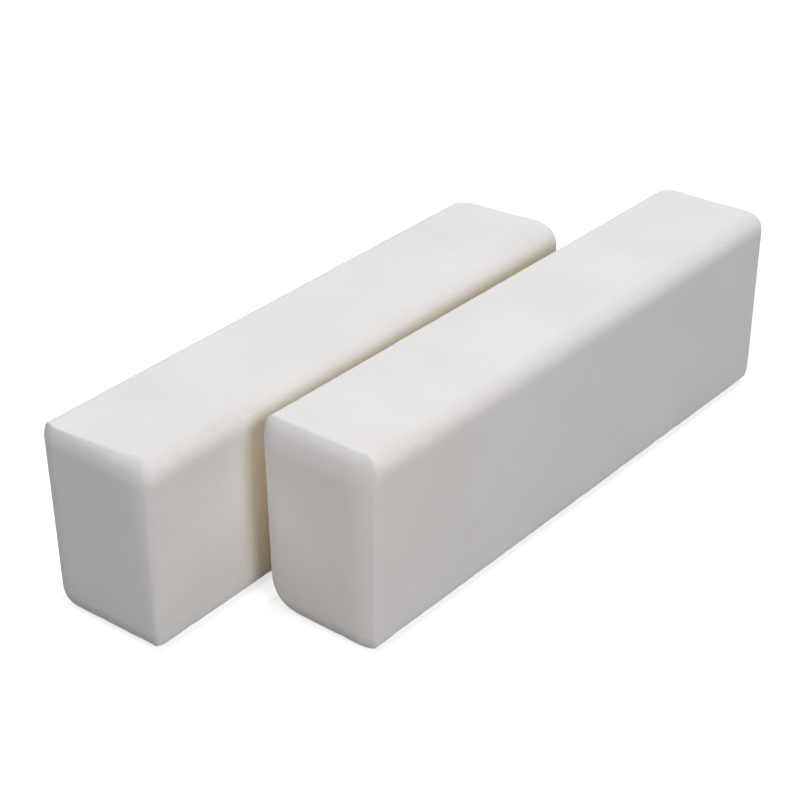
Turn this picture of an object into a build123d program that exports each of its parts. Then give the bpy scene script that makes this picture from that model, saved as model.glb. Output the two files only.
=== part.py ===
from build123d import *
from math import copysign
import os

os.makedirs("parts", exist_ok=True)

# Gymnastics chalk: two loose bars of pressed magnesium carbonate, standing side by side on
# their narrow long faces.  Each bar is solid chalk all through.  Millimetres, +Z up, length
# along Y, front ends towards -Y, and the origin on the floor under the middle of the pair.

# A bar is pressed end on: a die forms its four long sides, and a dished punch forms each
# end.  The pressed bars dry and shrink one by one, so each has its own size.
left_width = 34.0
left_length = 153.4
left_height = 48.0
right_width = 33.1
right_length = 161.0
right_height = 49.8

# Radii of the four long edges, which the die's corners give.
left_top_left_radius = 4.7
left_top_right_radius = 5.5
left_bottom_right_radius = 3.9
left_bottom_left_radius = 4.9
right_top_left_radius = 4.5
right_top_right_radius = 4.7
right_bottom_right_radius = 3.6
right_bottom_left_radius = 6.8

# The ends are a little out of square.  Each skew is how much further the end reaches at
# one side: at the front the left side stands forward, at the back the right side stands back.
left_front_skew = 0.3
left_back_skew = 2.9
right_front_skew = 0.4
right_back_skew = 1.6

# Radius of the round that each punch's dish gives its end, all the way round.
left_front_round = 6.4
left_back_round = 6.8
right_front_round = 6.0
right_back_round = 5.5

# A dish is larger than the die, so its round meets the long sides in a crisp line and not
# in a smooth one.  Each play is how far the dish stands outside one long side.  A smaller
# play brings the line there further in from the end.
left_front_top_play = 0.6
left_front_right_play = 1.7
left_front_bottom_play = 1.9
left_front_left_play = 0.7
left_back_top_play = 1.05
left_back_right_play = 0.35
left_back_bottom_play = 0.6
left_back_left_play = 0.35
right_front_top_play = 0.1
right_front_right_play = 0.85
right_front_bottom_play = 1.75
right_front_left_play = 0.2
right_back_top_play = 0.65
right_back_right_play = 0.1
right_back_bottom_play = 0.2
right_back_left_play = 0.2

# How the pair lies: the space between the facing sides at the right bar's middle, how far
# the right bar's middle is behind the left bar's, and its turn in degrees, seen from above.
gap = 5.95
setback = 32.5
right_turn = -1.18

# The right bar's front left bottom corner is knocked off, down to a flat this far below
# the rounded corner.
knocked_depth = 1.3


def die_opening(place, width, height, long_edge_radii):
    """The die's opening, across the plane's Y axis and as high as the bar."""
    upright = Plane(place.origin, x_dir=place.x_dir, z_dir=-place.y_dir)
    corners = [(-width / 2, 0), (width / 2, 0), (width / 2, height), (-width / 2, height)]
    with BuildSketch(upright) as opening:
        with BuildLine():
            FilletPolyline(*corners, radius=long_edge_radii, close=True)
        make_face()
    return opening.sketch


def dish(place, width, height, end_y, skew, end_round, plays):
    """What a punch's dish leaves of the bar: its rounded end at end_y, and all behind it."""
    top_play, right_play, bottom_play, left_play = plays
    left_x = -width / 2 - left_play
    right_x = width / 2 + right_play
    far_y = -2 * end_y
    # The dish is as deep as its round, measured from where the skewed end lies furthest in.
    behind_y = end_y + copysign(end_round + abs(skew) / 2, far_y)
    left_end = (left_x, end_y + skew * left_x / width)
    right_end = (right_x, end_y + skew * right_x / width)
    left_behind = (left_x, behind_y)
    right_behind = (right_x, behind_y)
    left_far = (left_x, far_y)
    right_far = (right_x, far_y)
    bottom = place.offset(-bottom_play)
    total_height = bottom_play + height + top_play
    with BuildPart() as space:
        with BuildSketch(bottom):
            with BuildLine():
                Polyline(left_end, right_end, right_far, left_far, close=True)
            make_face()
        extrude(amount=total_height)
        fillet(space.edges(), end_round)
        with BuildSketch(bottom):
            with BuildLine():
                Polyline(left_behind, right_behind, right_far, left_far, close=True)
            make_face()
        extrude(amount=total_height)
    return space.part


# Both bars are placed from the middle of the left one.
left_place = Plane.XY
right_place = Plane((left_width / 2 + gap + right_width / 2, setback, 0)).rotated((0, 0, right_turn))

left_front_dish = dish(
    left_place,
    left_width,
    left_height,
    -left_length / 2,
    left_front_skew,
    left_front_round,
    [left_front_top_play, left_front_right_play, left_front_bottom_play, left_front_left_play],
)
left_back_dish = dish(
    left_place,
    left_width,
    left_height,
    left_length / 2,
    left_back_skew,
    left_back_round,
    [left_back_top_play, left_back_right_play, left_back_bottom_play, left_back_left_play],
)
right_front_dish = dish(
    right_place,
    right_width,
    right_height,
    -right_length / 2,
    right_front_skew,
    right_front_round,
    [right_front_top_play, right_front_right_play, right_front_bottom_play, right_front_left_play],
)
right_back_dish = dish(
    right_place,
    right_width,
    right_height,
    right_length / 2,
    right_back_skew,
    right_back_round,
    [right_back_top_play, right_back_right_play, right_back_bottom_play, right_back_left_play],
)

# The left bar: the die's opening run out past both ends, then pressed in by both dishes.
with BuildPart() as left_block:
    left_radii = [
        left_bottom_left_radius,
        left_bottom_right_radius,
        left_top_right_radius,
        left_top_left_radius,
    ]
    left_opening = die_opening(left_place, left_width, left_height, left_radii)
    extrude(left_opening, amount=left_length, both=True)
    add(left_front_dish, mode=Mode.INTERSECT)
    add(left_back_dish, mode=Mode.INTERSECT)

# The right bar: the same, and one corner knocked off square to its diagonal.
with BuildPart() as right_block:
    right_radii = [
        right_bottom_left_radius,
        right_bottom_right_radius,
        right_top_right_radius,
        right_top_left_radius,
    ]
    right_opening = die_opening(right_place, right_width, right_height, right_radii)
    extrude(right_opening, amount=right_length, both=True)
    add(right_front_dish, mode=Mode.INTERSECT)
    add(right_back_dish, mode=Mode.INTERSECT)

    corner_y = -right_length / 2 - right_front_skew / 2
    sharp_corner = right_place.from_local_coords(Vector(-right_width / 2, corner_y, 0))
    inward = (right_place.x_dir + right_place.y_dir + right_place.z_dir).normalized()
    rounded_away = right_block.part.distance_to(sharp_corner)
    knock = Plane(sharp_corner + inward * (rounded_away + knocked_depth), z_dir=inward)
    split(bisect_by=knock, keep=Keep.TOP)

# Both bars move together to bring the origin under the middle of the pair.
pair_middle = Compound([left_block.part, right_block.part]).bounding_box().center()
to_origin = Location((-pair_middle.X, -pair_middle.Y, 0))
left_block.part.move(to_origin)
right_block.part.move(to_origin)

left_block.part.label = "left_block"
export_step(left_block.part, "parts/left_block.step")
right_block.part.label = "right_block"
export_step(right_block.part, "parts/right_block.step")
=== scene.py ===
# %% [markdown]
# # A pair of gymnastics chalk bars
# Gym chalk is magnesium carbonate, dried and pressed into a light, dead white bar that an
# athlete rubs on the palms.  This file dresses two such bars.  Their sizes and places come
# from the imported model, which is loaded first and stays hidden behind what is made here.

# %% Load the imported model
import math
import bpy
from mathutils import Matrix, Vector


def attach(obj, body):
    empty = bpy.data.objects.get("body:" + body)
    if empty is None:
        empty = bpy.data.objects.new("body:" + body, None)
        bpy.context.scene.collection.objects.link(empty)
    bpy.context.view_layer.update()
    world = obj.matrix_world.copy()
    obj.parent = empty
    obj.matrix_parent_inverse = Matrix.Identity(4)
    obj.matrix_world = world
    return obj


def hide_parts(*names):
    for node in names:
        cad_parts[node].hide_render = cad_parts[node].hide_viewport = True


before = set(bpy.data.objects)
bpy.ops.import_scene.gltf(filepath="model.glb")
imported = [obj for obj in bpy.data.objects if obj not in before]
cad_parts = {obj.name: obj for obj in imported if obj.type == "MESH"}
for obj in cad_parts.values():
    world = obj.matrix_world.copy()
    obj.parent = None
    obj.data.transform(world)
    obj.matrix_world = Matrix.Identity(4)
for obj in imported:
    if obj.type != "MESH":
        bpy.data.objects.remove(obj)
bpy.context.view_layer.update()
MM = 0.001
scene = bpy.context.scene

# %% [markdown]
# ## Formulas in place of wired nodes
# The shape and the finish are both worked out by node trees.  Wiring each Math node by hand
# hides the formula, so a small class wraps a socket and overloads the usual operators:
# `1 - mask` adds a Math node and hands back its output.  Vectors go through Vector Math,
# because a Math node would turn a colour grey.  The same class serves geometry and shaders,
# as both kinds of tree use the same Math nodes.

# %% A socket that can be calculated with
class Wire:
    """One output of a node, which the usual operators work on."""

    def __init__(self, graph, socket):
        self.graph = graph
        self.socket = socket

    def math(self, operation, *others):
        return self.graph.math(operation, self, *others)

    def __add__(self, other):
        return self.math("ADD", other)

    def __sub__(self, other):
        return self.math("SUBTRACT", other)

    def __mul__(self, other):
        return self.math("MULTIPLY", other)

    def __truediv__(self, other):
        return self.math("DIVIDE", other)

    def __rsub__(self, other):
        return self.graph.math("SUBTRACT", other, self)

    def __rtruediv__(self, other):
        return self.graph.math("DIVIDE", other, self)

    def __abs__(self):
        return self.math("ABSOLUTE")

    __radd__ = __add__
    __rmul__ = __mul__


print("wires take + - * / and abs")


# %% A node tree that builds itself from formulas
class Graph:
    """A node tree, with the one method that adds nodes to it."""

    def __init__(self, tree):
        self.tree = tree

    def node(self, kind, settings=None, sockets=None, output=0):
        """Adds a node, sets it up, fills its sockets and hands back one output."""
        node = self.tree.nodes.new(kind)
        for name, value in (settings or {}).items():
            setattr(node, name, value)
        for key, value in (sockets or {}).items():
            socket = self.find(node.inputs, key)
            if isinstance(value, Wire):
                self.tree.links.new(value.socket, socket)
            else:
                socket.default_value = value
        return Wire(self, self.find(node.outputs, output)) if node.outputs else node

    def find(self, sockets, key):
        """A socket by its number, or by its name among those in use."""
        if isinstance(key, int):
            return sockets[key]
        return next(s for s in sockets if s.name == key and not s.is_unavailable)

    def math(self, operation, *values):
        """Adds Math, or Vector Math where a value is a vector or a colour."""
        wires = [v for v in values if isinstance(v, Wire)]
        if any(w.socket.type in ("VECTOR", "RGBA") for w in wires):
            values = [(v, v, v) if isinstance(v, float) else v for v in values]
            return self.node(
                "ShaderNodeVectorMath", {"operation": operation}, dict(enumerate(values))
            )
        return self.node("ShaderNodeMath", {"operation": operation}, dict(enumerate(values)))

    def split(self, vector):
        """A vector's three numbers."""
        parts = self.node("ShaderNodeSeparateXYZ", {}, {0: vector})
        return [Wire(self, s) for s in parts.socket.node.outputs]

    def join(self, x, y, z):
        return self.node("ShaderNodeCombineXYZ", {}, {0: x, 1: y, 2: z})

    def smooth(self, value, low, high):
        """0 below low, 1 above high, and a soft step between."""
        settings = {"interpolation_type": "SMOOTHSTEP"}
        return self.node(
            "ShaderNodeMapRange", settings, {"Value": value, "From Min": low, "From Max": high}
        )

    def noise(self, where, size, detail, seed):
        """A soft random value, about 0 to 1, whose lumps are `size` metres across."""
        sockets = {"Vector": where, "W": seed, "Scale": 1 / size, "Detail": detail}
        return self.node("ShaderNodeTexNoise", {"noise_dimensions": "4D"}, sockets, "Fac")


print("graphs take math, split, join, smooth and noise")

# %% [markdown]
# ## The shape of a bar, as a rule
# A bar is pressed end on: a die forms its four long sides and a dished punch forms each end.
# The die's corners give the long edges their radii.  Each dish is a little larger than the
# die, so its round meets the long sides in a crisp line.  The upright edge at the front
# right is softer, because hands have rubbed it.  A cube with bevels has one even radius and
# no such line, and a boolean leaves a poor mesh.  The forms are formulas, so Geometry Nodes
# moves a fine grid box onto them, and the same tree, with other numbers, makes the second
# bar.  The grid also carries the unevenness of the faces as real shape.

# %% The inputs of the tree
LONG_EDGES = ["Top Left", "Top Right", "Bottom Right", "Bottom Left"]
WALLS = ["Top", "Right", "Bottom", "Left"]
SIZE_INPUTS = ["Width", "Length", "Height"]
SIZE_INPUTS += [edge + " Radius" for edge in LONG_EDGES]
for end in ("Front", "Back"):
    SIZE_INPUTS += [end + " Skew", end + " Left Corner", end + " Right Corner"]
    SIZE_INPUTS += [end + " Top Lean", end + " Right Lean", end + " Right Rub"]
    SIZE_INPUTS += [end + " " + wall + " Round" for wall in WALLS]
    SIZE_INPUTS += [end + " " + wall + " Play" for wall in WALLS]
SIZE_INPUTS += ["Knock Depth", "Knock Softness", "Grid", "Unevenness", "Edge Wear", "Turn", "Seed"]
# The last three inputs place the painted shade of the gap between the two bars.
SIZE_INPUTS += ["Gap Shade Side", "Gap Shade From", "Gap Shade To"]


def new_tree(name, inputs):
    """A tree with nothing in it yet but its inputs and its output."""
    tree = bpy.data.node_groups.new(name, "GeometryNodeTree")
    tree.interface.new_socket("Geometry", in_out="INPUT", socket_type="NodeSocketGeometry")
    for label in inputs:
        tree.interface.new_socket(label, in_out="INPUT", socket_type="NodeSocketFloat")
    tree.interface.new_socket("Place", in_out="INPUT", socket_type="NodeSocketVector")
    tree.interface.new_socket("Material", in_out="INPUT", socket_type="NodeSocketMaterial")
    tree.interface.new_socket("Geometry", in_out="OUTPUT", socket_type="NodeSocketGeometry")
    return tree


print("inputs that are numbers:", len(SIZE_INPUTS))

# %% The grid
# How far the rows of the grid are drawn together at the ends of a side: 0 leaves them even.
CROWDING = 0.6


def choose(condition, low, high):
    """low where condition is 0, high where it is 1."""
    return low + (high - low) * condition


def crowded(value, span):
    """Draws the rows of the grid together towards both ends of the span."""
    return value * (1.0 + CROWDING * (1.0 - abs(value) / (span * 0.5)))


print("grid rows drawn together by", CROWDING)

# %% The die
# Keeps a division by a length of zero away, and is far too small to be seen.
TINY = 1e-6


def signed_excess(value, limit):
    """How far value lies beyond limit, with value's own sign; 0 inside the limit."""
    return (abs(value) - limit).math("MAXIMUM", 0.0) * value.math("SIGN")


def in_die(x, z, size):
    """Draws the section's square corners in to the radii of the die.

    Also hands back how far inside the die's wall the point lies, as far as the radius."""
    right = x.math("GREATER_THAN", 0.0)
    top = z.math("GREATER_THAN", 0.0)
    below = choose(right, size["Bottom Left Radius"], size["Bottom Right Radius"])
    above = choose(right, size["Top Left Radius"], size["Top Right Radius"])
    radius = choose(top, below, above)
    out_x = signed_excess(x, size["Width"] * 0.5 - radius)
    out_z = signed_excess(z, size["Height"] * 0.5 - radius)
    square = abs(out_x).math("MAXIMUM", abs(out_z))
    span = (out_x * out_x + out_z * out_z).math("SQRT").math("MAXIMUM", TINY)
    pull = square / span - 1.0
    return x + out_x * pull, z + out_z * pull, radius - square


print("die with a radius for each of", LONG_EDGES)

# %% The dishes
# The rubbed edge fades in over this share of the top right radius.
RUB_FADE = 0.7


def fallen(past_side, end_round, play):
    """How far a dish's round has dropped, at a place this far past the bar's side."""
    excess = (past_side + end_round - play).math("MAXIMUM", 0.0)
    standing = (end_round * end_round - excess * excess).math("MAXIMUM", 0.0)
    return end_round - standing.math("SQRT")


def end_distance(x, z, inside, size, end):
    """How far one end stands from the bar's middle, over a point of the section."""
    top = z - size["Height"] * 0.5
    right = x - size["Width"] * 0.5
    past = {
        # A lean makes a round wider towards the right, or towards the top.
        "Top": top + x / size["Width"] * size[end + " Top Lean"],
        "Right": right + z / size["Height"] * size[end + " Right Lean"],
        "Bottom": 0.0 - size["Height"] - top,
        "Left": 0.0 - size["Width"] - right,
    }
    # A power of 1 adds up the drops of two walls where they meet in a corner, which rounds
    # it, and a higher one squares it.
    to_right = x.math("GREATER_THAN", 0.0)
    power = choose(to_right, size[end + " Left Corner"], size[end + " Right Corner"])
    total = 0.0
    for wall in WALLS:
        prefix = end + " " + wall
        drop = fallen(past[wall], size[prefix + " Round"], size[prefix + " Play"])
        if wall == "Right":
            # Hands have rubbed this edge soft, and less so towards its two corners.
            reach = size["Top Right Radius"] * -RUB_FADE
            rub = size[prefix + " Rub"] * x.graph.smooth(right, reach, 0.0)
            drop = drop + fallen(0.0 - inside, rub, 0.0)
        total = total + drop.math("POWER", power)
    return size["Length"] * 0.5 - total.math("POWER", 1.0 / power)


print("dish with a round and a play beside each of", WALLS)


# %% From the sharp box to the pressed bar
def pressed(graph, point, size):
    """Moves a point of the sharp box's surface to the pressed bar's surface."""
    sharp_x, sharp_y, sharp_z = graph.split(point)
    across = crowded(sharp_x, size["Width"])
    upward = crowded(sharp_z, size["Height"])
    x, z, inside = in_die(across, upward, size)
    y = crowded(sharp_y, size["Length"])
    at_back = y.math("GREATER_THAN", 0.0)
    front = end_distance(x, z, inside, size, "Front")
    end = choose(at_back, front, end_distance(x, z, inside, size, "Back"))
    return graph.join(x, y / (size["Length"] * 0.5) * end, z)


def knocked(graph, point, size):
    """Pushes the front left bottom corner in to a flat across its diagonal."""
    corner = graph.join(size["Width"] * -0.5, size["Length"] * -0.5, size["Height"] * -0.5)
    diagonal = (1 / math.sqrt(3),) * 3
    dot = graph.node(
        "ShaderNodeVectorMath",
        {"operation": "DOT_PRODUCT"},
        {0: point - corner, 1: diagonal},
        "Value",
    )
    push = dot.math("SMOOTH_MAX", size["Knock Depth"], size["Knock Softness"]) - dot
    moved = {0: diagonal, "Scale": push}
    return point + graph.node("ShaderNodeVectorMath", {"operation": "SCALE"}, moved)


def skewed(graph, point, size):
    """Sets the two ends a little out of square."""
    x, y, z = graph.split(point)
    along = y / size["Length"] + 0.5
    skew = choose(along, size["Front Skew"], size["Back Skew"])
    return graph.join(x, y + x / size["Width"] * skew, z)


print("a bar is pressed, then knocked, then skewed")

# %% How close a point is to an edge
EDGE_BAND = 4 * MM


def edge_mask(graph, point, size):
    """1 on the edges of the sharp box, falling to 0 at EDGE_BAND from them."""
    x, y, z = graph.split(point)
    gap_x = size["Width"] * 0.5 - abs(crowded(x, size["Width"]))
    gap_y = size["Length"] * 0.5 - abs(crowded(y, size["Length"]))
    gap_z = size["Height"] * 0.5 - abs(crowded(z, size["Height"]))
    low = gap_x.math("MINIMUM", gap_y)
    high = gap_x.math("MAXIMUM", gap_y)
    second = low.math("MAXIMUM", high.math("MINIMUM", gap_z))
    return 1.0 - graph.smooth(second, 0.0, EDGE_BAND)


print("edge band in mm", EDGE_BAND / MM)

# %% Where the painted shade of the gap falls
# Each pair says where the painted shade begins and where it is full: how far past the wall, how
# far below the top, and how far in from where the other bar starts or stops.
GAP_SHADE_WALL = (-1.5 * MM, 0.0)
GAP_SHADE_DEPTH = (0.5 * MM, 6 * MM)
GAP_SHADE_STRETCH = (-7 * MM, 6 * MM)


def gap_shade_mask(graph, point, size):
    """1 on the stretch of one long side that lies against the other bar, where painted shade goes.
    """
    x, y, z = graph.split(point)
    past_wall = crowded(x, size["Width"]) * size["Gap Shade Side"] - size["Width"] * 0.5
    below_top = size["Height"] * 0.5 - crowded(z, size["Height"])
    past_start = crowded(y, size["Length"]) - size["Gap Shade From"]
    before_stop = size["Gap Shade To"] - crowded(y, size["Length"])
    return (
        graph.smooth(past_wall, *GAP_SHADE_WALL)
        * graph.smooth(below_top, *GAP_SHADE_DEPTH)
        * graph.smooth(past_start, *GAP_SHADE_STRETCH)
        * graph.smooth(before_stop, *GAP_SHADE_STRETCH)
    )


print("shelter is full", GAP_SHADE_DEPTH[1] / MM, "mm below the top")


# %% The box with its two masks
def fine_box(graph, size):
    """The sharp box, with a grid of points on all six sides."""
    extent = graph.join(size["Width"], size["Length"], size["Height"])
    counts = [size[name] / size["Grid"] + 1.0 for name in ("Width", "Length", "Height")]
    return graph.node(
        "GeometryNodeMeshCube",
        {},
        {"Size": extent, "Vertices X": counts[0], "Vertices Y": counts[1], "Vertices Z": counts[2]},
    )


def marked(graph, geometry, name, mask):
    """Keeps a mask on the points, where the wear and the material can read it."""
    return graph.node(
        "GeometryNodeStoreNamedAttribute",
        {"data_type": "FLOAT", "domain": "POINT"},
        {"Geometry": geometry, "Name": name, "Value": mask},
    )


print("masks are kept on the points")

# %% Wear
WAVE = 28 * MM
NIBBLE = 5 * MM
# Chalk starts to go where the nibbles pass the first number, and is all gone at the second.
NIBBLED = (0.45, 0.8)
OTHER_SEED = 10.0


def weathered(graph, bar, size):
    """Faces left uneven by drying, and edges eaten at by handling.

    Both only take chalk away, so the bar never grows out of its size."""
    where = graph.node("GeometryNodeInputPosition")
    kept_edge = graph.node(
        "GeometryNodeInputNamedAttribute", {"data_type": "FLOAT"}, {"Name": "edge"}, "Attribute"
    )
    waves = graph.noise(where, WAVE, detail=1.0, seed=size["Seed"])
    nibbles = graph.noise(where, NIBBLE, detail=3.0, seed=size["Seed"] + OTHER_SEED)
    eaten = graph.smooth(nibbles, *NIBBLED) * kept_edge * size["Edge Wear"]
    lost = waves * size["Unevenness"] + eaten
    normal = graph.node("GeometryNodeInputNormal")
    inwards = graph.node(
        "ShaderNodeVectorMath", {"operation": "SCALE"}, {0: normal, "Scale": lost * -1.0}
    )
    return graph.node("GeometryNodeSetPosition", {}, {"Geometry": bar, "Offset": inwards})


print("waves and nibbles in mm", round(WAVE / MM, 2), round(NIBBLE / MM, 2))


# %% The whole tree
def set_down(graph, bar, size):
    """Turns the bar and stands it on its place on the floor."""
    lift = graph.join(0.0, 0.0, size["Height"] * 0.5)
    return graph.node(
        "GeometryNodeTransform",
        {},
        {
            "Geometry": bar,
            "Translation": size["Place"] + lift,
            "Rotation": graph.join(0.0, 0.0, size["Turn"]),
        },
    )


def bar_tree():
    tree = new_tree("chalk_bar", SIZE_INPUTS)
    graph = Graph(tree)
    entry = graph.node("NodeGroupInput").socket.node
    size = {s.name: Wire(graph, s) for s in entry.outputs if s.name}
    sharp = graph.node("GeometryNodeInputPosition")
    box = marked(graph, fine_box(graph, size), "edge", edge_mask(graph, sharp, size))
    # This mask places the painted shade where the other bar lies close.
    box = marked(graph, box, "painted_gap_shade", gap_shade_mask(graph, sharp, size))
    shape = skewed(graph, knocked(graph, pressed(graph, sharp, size), size), size)
    bar = graph.node("GeometryNodeSetPosition", {}, {"Geometry": box, "Position": shape})
    placed = set_down(graph, weathered(graph, bar, size), size)
    soft = graph.node("GeometryNodeSetShadeSmooth", {}, {"Geometry": placed})
    real = graph.node("GeometryNodeRealizeInstances", {}, {"Geometry": soft})
    made = graph.node(
        "GeometryNodeSetMaterial", {}, {"Geometry": real, "Material": size["Material"]}
    )
    graph.node("NodeGroupOutput", {}, {0: made})
    return tree


chalk_tree = bar_tree()
print("bar tree:", len(chalk_tree.nodes), "nodes")

# %% [markdown]
# ## Chalk
# Pressed magnesium carbonate is a dry powder: dead matt, a hair warm, with a skin of loose
# dust.  It has no grain or pattern, so the finish is built from very weak layers: clouds of
# slightly different white, edges a little lighter as a painted highlight along the rims, and a
# fine bump for the powder itself with a few dimples left by air.  Where the two bars lie side
# by side, the facing sides are painted a warm cream: painted shade of the gap, warmed the way
# light bounced between the bars would warm it.

# %% The whites of the chalk
CHALK_LOW = (0.91, 0.884, 0.832)
CHALK_HIGH = (0.96, 0.936, 0.888)
# Painted highlight: a lighter white laid along the rims.
CHALK_EDGE_HIGHLIGHT = (0.955, 0.934, 0.892)
# Painted shade: a warm cream for the sides that face the other bar, standing in for the gap's
# shadow and the light bounced between the bars.
PAINTED_GAP_SHADE = (0.93, 0.875, 0.76)


def blend(graph, factor, first, second):
    """Mixes the second colour into the first."""
    return graph.node(
        "ShaderNodeMix",
        {"data_type": "RGBA"},
        {"Factor": factor, "A": first, "B": second + (1,)},
        "Result",
    )


print("whites from", CHALK_LOW, "to", CHALK_HIGH)

# %% The colour of the chalk
CLOUD = 22 * MM
SPECK = 1.6 * MM
# Clouds make this share of the tone, after a step between two values, and specks the rest.
CLOUD_STEP = (0.3, 0.7)
CLOUD_SHARE = 0.6
# An edge takes this much of the painted highlight, and the side against the other bar this
# much of the painted shade of the gap, with a little more where a cloud lies.
EDGE_HIGHLIGHT_SHARE = 0.5
GAP_SHADE_SHARE = 0.75
GAP_SHADE_CLOUDS = 0.5


def chalk_colour(graph, clouds, specks):
    """Clouded white, with a painted highlight on the edges and painted warm shade where the other
    bar lies against it.
    """
    edge = graph.node("ShaderNodeAttribute", {"attribute_name": "edge"}, {}, "Fac")
    painted_gap_shade = graph.node("ShaderNodeAttribute", {"attribute_name": "painted_gap_shade"}, {}, "Fac")
    tone = graph.smooth(clouds, *CLOUD_STEP) * CLOUD_SHARE + specks * (1 - CLOUD_SHARE)
    colour = blend(graph, tone, CHALK_LOW + (1,), CHALK_HIGH)
    # Painted highlight along the rims.
    colour = blend(graph, edge * EDGE_HIGHLIGHT_SHARE, colour, CHALK_EDGE_HIGHLIGHT)
    # Painted shade of the gap, on the side that faces the other bar.
    return blend(graph, painted_gap_shade * (GAP_SHADE_SHARE + clouds * GAP_SHADE_CLOUDS), colour, PAINTED_GAP_SHADE)


print("clouds and specks in mm", round(CLOUD / MM, 2), round(SPECK / MM, 2))

# %% The bump of the chalk
POWDER = 0.45 * MM
DIMPLE = 3.5 * MM
POWDER_SHARE = 0.35
BUMP_STRENGTH = 0.55
BUMP_DEPTH = 0.3 * MM


def chalk_bump(graph, where):
    """Fine powder, and a few dimples left by air."""
    powder = graph.noise(where, POWDER, detail=3.0, seed=3.0)
    dimples = graph.noise(where, DIMPLE, detail=2.0, seed=4.0)
    height = powder * POWDER_SHARE + dimples * (1 - POWDER_SHARE)
    sockets = {"Strength": BUMP_STRENGTH, "Distance": BUMP_DEPTH, "Height": height}
    return graph.node("ShaderNodeBump", {}, sockets)


print("powder and dimples in mm", round(POWDER / MM, 2), round(DIMPLE / MM, 2))

# %% The chalk material
ROUGHNESS = 0.86
ROUGHER_SPECKS = 0.1


def chalk_material():
    material = bpy.data.materials.new("pressed_chalk")
    material.use_nodes = True
    tree = material.node_tree
    tree.nodes.clear()
    graph = Graph(tree)
    where = graph.node("ShaderNodeTexCoord", {}, {}, "Object")
    clouds = graph.noise(where, CLOUD, detail=3.0, seed=1.0)
    specks = graph.noise(where, SPECK, detail=4.0, seed=2.0)
    shader = graph.node(
        "ShaderNodeBsdfPrincipled",
        {},
        {
            "Base Color": chalk_colour(graph, clouds, specks),
            "Roughness": ROUGHNESS + specks * ROUGHER_SPECKS,
            "Normal": chalk_bump(graph, where),
            "Specular IOR Level": 0.1,
            "Diffuse Roughness": 0.6,
        },
    )
    graph.node("ShaderNodeOutputMaterial", {}, {"Surface": shader})
    return material


chalk = chalk_material()
print("chalk nodes:", len(chalk.node_tree.nodes))

# %% [markdown]
# ## Making the two bars
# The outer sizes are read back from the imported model: the bar's own width, length and
# height, and where its middle stands.  The right bar lies turned, so its corners are turned
# back before they are measured.  A skewed end reaches past its own middle at one side, and
# that reach is taken off the length.

# %% Measure a packed bar
def measured(name, turn, values):
    """The bar's size along its own axes, and the middle of its base."""
    back = Matrix.Rotation(-turn, 3, "Z")
    points = [back @ v.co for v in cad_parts[name].data.vertices]
    low = Vector([min(p[i] for p in points) for i in range(3)])
    high = Vector([max(p[i] for p in points) for i in range(3)])
    width = high.x - low.x
    flat_left = width / 2 + values["Front Left Play"] - values["Front Left Round"]
    flat_right = width / 2 + values["Back Right Play"] - values["Back Right Round"]
    low.y += values["Front Skew"] / width * flat_left
    high.y -= values["Back Skew"] / width * flat_right
    middle = (low + high) / 2
    middle.z = 0
    return high - low, back.inverted() @ middle


print("packed bars:", sorted(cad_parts))


# %% Run the tree for one bar
def make_bar(name, sizes, numbers):
    """Makes one bar.  The sizes are in millimetres, and the numbers are as they are."""
    values = numbers | {label: size * MM for label, size in sizes.items()}
    extent, place = measured(name, values["Turn"], values)
    values["Width"], values["Length"], values["Height"] = extent
    values["Place"] = place
    values["Material"] = chalk
    holder = bpy.data.objects.new(name + "_holder", bpy.data.meshes.new(name + "_holder"))
    scene.collection.objects.link(holder)
    modifier = holder.modifiers.new("chalk_bar", "NODES")
    modifier.node_group = chalk_tree
    for socket in chalk_tree.interface.items_tree:
        if socket.in_out == "INPUT" and socket.name in values:
            modifier[socket.identifier] = values[socket.name]
    bpy.context.view_layer.update()
    shaped = holder.evaluated_get(bpy.context.evaluated_depsgraph_get())
    mesh = bpy.data.meshes.new_from_object(shaped)
    # The first slot is the empty one of the holder's mesh.
    mesh.materials.pop(index=0)
    bpy.data.objects.remove(holder)
    bar = bpy.data.objects.new(name + "_chalk", mesh)
    scene.collection.objects.link(bar)
    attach(bar, name)
    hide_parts(name)
    print(name, "size in mm", [round(v / MM, 1) for v in extent], "faces", len(mesh.polygons))


print("make_bar takes a name, sizes and numbers")

# %% [markdown]
# ## The sizes of the two bars
# No two pressed bars are alike, so each has a list of its own, in millimetres.  A round is
# the radius of a dish beside one wall, and its play is how far the dish reaches past that
# wall, so much play leaves little of the round to see.  A lean makes a round wider towards
# the right or the top, a rub is the radius that hands gave an edge, and a skew is how far an
# end is out of square.  The last two lines give the stretch that lies beside the other bar,
# which takes the painted shade of the gap.
# The plain numbers are a bar's turn, its seed, which side takes the painted shade and the
# powers of its corners.

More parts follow.
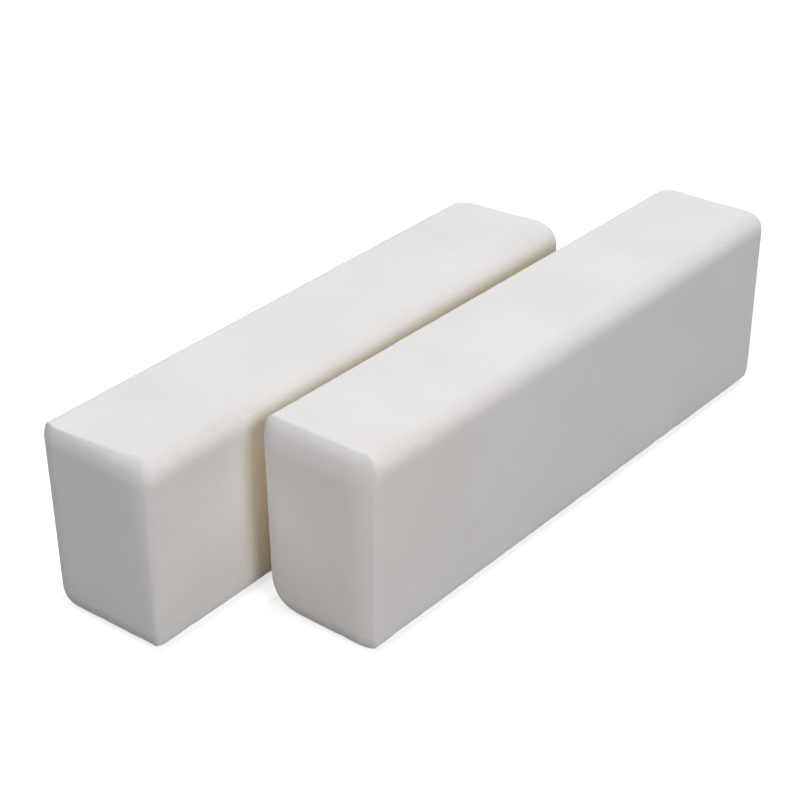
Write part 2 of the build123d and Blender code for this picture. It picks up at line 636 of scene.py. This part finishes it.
# %% The left bar
SURFACE = {"Grid": 0.7, "Unevenness": 0.12, "Edge Wear": 0.22}
left_sizes = SURFACE | {
    "Top Left Radius": 4.3,
    "Top Right Radius": 5.3,
    "Bottom Right Radius": 4.1,
    "Bottom Left Radius": 4.6,
    "Front Skew": 1.2,
    "Front Top Round": 5.4,
    "Front Top Play": 0.79,
    "Front Top Lean": 1.9,
    "Front Right Round": 15.0,
    "Front Right Play": 11.0,
    "Front Right Lean": 2.0,
    "Front Right Rub": 1.5,
    "Front Bottom Round": 6.7,
    "Front Bottom Play": 2.06,
    "Front Left Round": 6.7,
    "Front Left Play": 0.15,
    "Back Skew": 2.9,
    "Back Top Round": 7.0,
    "Back Top Play": 1.36,
    "Back Right Round": 7.0,
    "Back Right Play": 0.33,
    "Back Bottom Round": 7.0,
    "Back Bottom Play": 0.69,
    "Back Left Round": 7.0,
    "Back Left Play": 0.49,
    "Knock Depth": 0.0,
    "Knock Softness": 1.0,
    "Gap Shade From": -46.5,
    "Gap Shade To": 200.0,
}
left_numbers = {
    "Turn": 0.0,
    "Seed": 3.0,
    "Gap Shade Side": 1.0,
    "Front Left Corner": 0.9,
    "Front Right Corner": 0.8,
    "Back Left Corner": 0.85,
    "Back Right Corner": 0.85,
}
make_bar("left_block", left_sizes, left_numbers)

# %% The right bar
right_sizes = SURFACE | {
    "Top Left Radius": 4.15,
    "Top Right Radius": 5.2,
    "Bottom Right Radius": 3.95,
    "Bottom Left Radius": 7.5,
    "Front Skew": 0.93,
    "Front Top Round": 8.2,
    "Front Top Play": 1.28,
    "Front Right Round": 15.0,
    "Front Right Play": 8.45,
    "Front Right Lean": 1.5,
    "Front Right Rub": 0.3,
    "Front Bottom Round": 6.6,
    "Front Bottom Play": 1.78,
    "Front Left Round": 6.6,
    "Front Left Play": 0.15,
    "Back Skew": 1.45,
    "Back Top Round": 6.4,
    "Back Top Play": 1.16,
    "Back Right Round": 6.4,
    "Back Right Play": 0.26,
    "Back Bottom Round": 6.4,
    "Back Bottom Play": 0.29,
    "Back Left Round": 6.4,
    "Back Left Play": 0.4,
    "Knock Depth": 5.1,
    "Knock Softness": 2.7,
    "Gap Shade From": -200.0,
    "Gap Shade To": 46.0,
}
right_numbers = {
    "Turn": math.radians(-1.18),
    "Seed": 8.0,
    "Gap Shade Side": -1.0,
    "Front Left Corner": 1.4,
    "Front Right Corner": 0.85,
    "Back Left Corner": 1.04,
    "Back Right Corner": 1.04,
}
make_bar("right_block", right_sizes, right_numbers)

# %% [markdown]
# ## Floor
# A plain pale sheet.  A floor that is truly white throws so much light up the sides that
# their shading goes flat, so the light meets a middle grey card.  What the camera sees is
# the same sheet lifted to white by a little glow, and the bars' shadow still darkens it.

# %% Rays that look rather than light
def looking(graph):
    """1 for camera, glossy and transmission rays, 0 for the rays that carry light."""
    path = graph.node("ShaderNodeLightPath").socket.node
    kinds = ("Is Camera Ray", "Is Glossy Ray", "Is Transmission Ray")
    camera_ray, glossy_ray, transmission_ray = [Wire(graph, path.outputs[k]) for k in kinds]
    return (camera_ray + glossy_ray + transmission_ray).math("MINIMUM", 1.0)


print("three kinds of ray look")

# %% The floor
CARD = (0.5, 0.5, 0.5, 1)
SEEN_CARD = (0.8, 0.8, 0.8, 1)
WHITE = (1, 1, 1, 1)
BLACK = (0, 0, 0, 1)
GLOW = 0.65
# Half of the floor's side, in metres.
HALF = 0.7


def floor_material():
    material = bpy.data.materials.new("white_card")
    material.use_nodes = True
    tree = material.node_tree
    tree.nodes.clear()
    graph = Graph(tree)
    card = graph.node("ShaderNodeBsdfDiffuse", {}, {"Color": CARD})
    seen_card = graph.node("ShaderNodeBsdfDiffuse", {}, {"Color": SEEN_CARD})
    glow = graph.node("ShaderNodeEmission", {}, {"Color": WHITE, "Strength": GLOW})
    lifted = graph.node("ShaderNodeAddShader", {}, {0: seen_card, 1: glow})
    mixed = graph.node("ShaderNodeMixShader", {}, {0: looking(graph), 1: card, 2: lifted})
    graph.node("ShaderNodeOutputMaterial", {}, {"Surface": mixed})
    return material


corners = [(-HALF, -HALF, 0), (HALF, -HALF, 0), (HALF, HALF, 0), (-HALF, HALF, 0)]
floor_mesh = bpy.data.meshes.new("floor")
floor_mesh.from_pydata(corners, [], [(0, 1, 2, 3)])
floor_mesh.materials.append(floor_material())
floor = bpy.data.objects.new("floor", floor_mesh)
scene.collection.objects.link(floor)
print("floor side in mm", 2 * HALF / MM)

# %% [markdown]
# ## Light
# A large soft box above and behind gives the tops their even brightness and leaves the
# front ends darkest.  Three weaker ones fill the front, the left and the right, and a
# small card lamp close to the front right corner brings out the near edges.  The room
# behind is white to look at and black to the light, so the lamps alone shade the bars.

# %% The lamps
FAR = 1.3
NEAR = 0.32
SOFTBOX = 0.5
SMALL_CARD = 0.15
LAMP_AIM = Vector((0, 0, 25 * MM))


def from_middle(azimuth, elevation, distance):
    """A place around the pair.  Azimuth 0 is in front, and 90 is to the right."""
    turn = math.radians(azimuth)
    rise = math.radians(elevation)
    across = distance * math.cos(rise)
    return Vector((across * math.sin(turn), -across * math.cos(turn), distance * math.sin(rise)))


def soft_lamp(name, place, side, power, colour):
    """A square softbox that looks at the middle of the pair."""
    data = bpy.data.lights.new(name, "AREA")
    data.shape = "SQUARE"
    data.size = side
    data.energy = power
    data.color = colour
    lamp = bpy.data.objects.new(name, data)
    lamp.location = place
    lamp.rotation_euler = (LAMP_AIM - place).to_track_quat("-Z", "Y").to_euler()
    lamp.visible_camera = False
    scene.collection.objects.link(lamp)
    print(name, "watts", power)


soft_lamp("lamp_back", from_middle(180, 60, FAR), SOFTBOX, 10.15, (0.95, 0.96, 1.0))
soft_lamp("lamp_front", from_middle(0, 35, FAR), SOFTBOX, 1.67, (0.95, 0.95, 1.0))
soft_lamp("lamp_left", from_middle(-60, 60, FAR), SOFTBOX, 3.63, (0.86, 0.89, 1.0))
soft_lamp("lamp_right", from_middle(75, 35, FAR), SOFTBOX, 4.27, (0.87, 0.90, 1.0))
soft_lamp("lamp_near", from_middle(50, 35, NEAR), SMALL_CARD, 0.085, (1.0, 0.93, 0.82))

# %% The room
world = bpy.data.worlds.new("room")
scene.world = world
world.use_nodes = True
world.node_tree.nodes.clear()
room = Graph(world.node_tree)
dark = room.node("ShaderNodeBackground", {}, {"Color": BLACK, "Strength": 1.0})
white = room.node("ShaderNodeBackground", {}, {"Color": WHITE, "Strength": 1.0})
mixed = room.node("ShaderNodeMixShader", {}, {0: looking(room), 1: dark, 2: white})
room.node("ShaderNodeOutputWorld", {}, {"Surface": mixed})
scene.cycles.diffuse_bounces = 12
scene.cycles.max_bounces = 16
print("bounces of soft light:", scene.cycles.diffuse_bounces)

# %% [markdown]
# ## Camera
# A longish lens above the front right corner, near enough for the long edges to draw
# together towards the back.  A tracking constraint could aim it, but would keep it level.
# The camera's own three directions, worked out here, also take its small roll.

# %% The camera
LENS = 80.96
SENSOR = 36.0
AZIMUTH = math.radians(39.395)
ELEVATION = math.radians(30.717)
ROLL = math.radians(-0.545)
DISTANCE = 443.27 * MM
AIM = Vector((-6.16, -6.79, 23.8)) * MM
back = Vector(
    (
        math.sin(AZIMUTH) * math.cos(ELEVATION),
        -math.cos(AZIMUTH) * math.cos(ELEVATION),
        math.sin(ELEVATION),
    )
)
level = Vector((math.cos(AZIMUTH), math.sin(AZIMUTH), 0))
upwards = back.cross(level)
right = level * math.cos(ROLL) + upwards * math.sin(ROLL)
up = back.cross(right)
camera = bpy.data.objects.new("camera", bpy.data.cameras.new("camera"))
camera.data.sensor_width = SENSOR
camera.data.lens = LENS
turned = Matrix((right, up, back)).transposed().to_4x4()
camera.matrix_world = Matrix.Translation(AIM + back * DISTANCE) @ turned
scene.collection.objects.link(camera)
scene.camera = camera
scene.view_settings.view_transform = "Standard"
print("camera in mm", [round(v / MM) for v in camera.matrix_world.translation])
